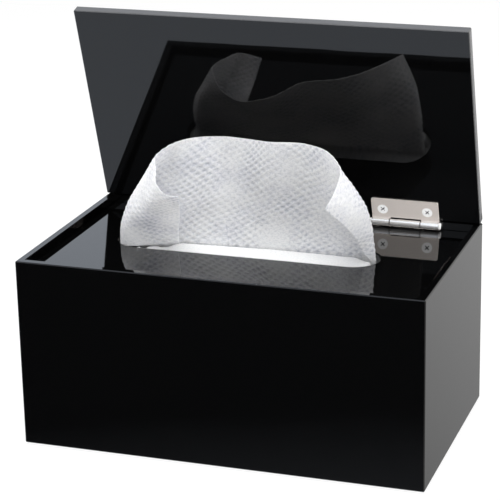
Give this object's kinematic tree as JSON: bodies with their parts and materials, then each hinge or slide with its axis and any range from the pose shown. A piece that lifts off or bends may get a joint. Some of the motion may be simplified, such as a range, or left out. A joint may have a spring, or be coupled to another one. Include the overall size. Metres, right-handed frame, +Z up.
{
  "type": "countertop wipes dispenser",
  "caption": "Glossy black acrylic box with a hinged flat lid and a slotted inner deck, through which folded wipes are pulled one by one.",
  "frame": {"origin": "middle of the box's footprint, on the surface that its pads stand on", "axes": "+Z up, +Y to the back where the hinges are, +X to the right as seen from the front"},
  "size_m": [0.21, 0.122, 0.2099],
  "materials": {
    "black_acrylic": "polished black acrylic sheet",
    "hinge_steel": "satin nickel-plated steel",
    "screw_steel": "bright plated steel",
    "pad_rubber": "soft matt silicone",
    "wipe_cloth": "white non-woven, embossed with small diamonds"
  },
  "bodies": {
    "box": {"front_wall": "black_acrylic", "rear_wall": "black_acrylic", "left_wall": "black_acrylic", "right_wall": "black_acrylic", "base_plate": "black_acrylic", "deck_panel": "black_acrylic", "deck_ledge_front": "black_acrylic", "deck_ledge_left": "black_acrylic", "deck_ledge_right": "black_acrylic", "pad_front_left": "pad_rubber", "pad_front_right": "pad_rubber", "pad_rear_left": "pad_rubber", "pad_rear_right": "pad_rubber", "hinge_left_body_leaf": "hinge_steel", "hinge_right_body_leaf": "hinge_steel", "hinge_left_pin": "screw_steel", "hinge_left_body_screws": "screw_steel", "hinge_right_pin": "screw_steel", "hinge_right_body_screws": "screw_steel", "wipe_stack": "wipe_cloth", "raised_wipe": "wipe_cloth"},
    "lid": {"lid_panel": "black_acrylic", "hinge_left_lid_leaf": "hinge_steel", "hinge_left_lid_screws": "screw_steel", "hinge_right_lid_leaf": "hinge_steel", "hinge_right_lid_screws": "screw_steel"}
  },
  "joints": [
    {"name": "lid_hinge", "type": "hinge", "parent": "box", "child": "lid", "pos_m": [0, 0.05495, 0.09715], "axis": [-1, 0, 0], "range_deg": [-73, 16], "deforming": ["raised_wipe"]}
  ]
}
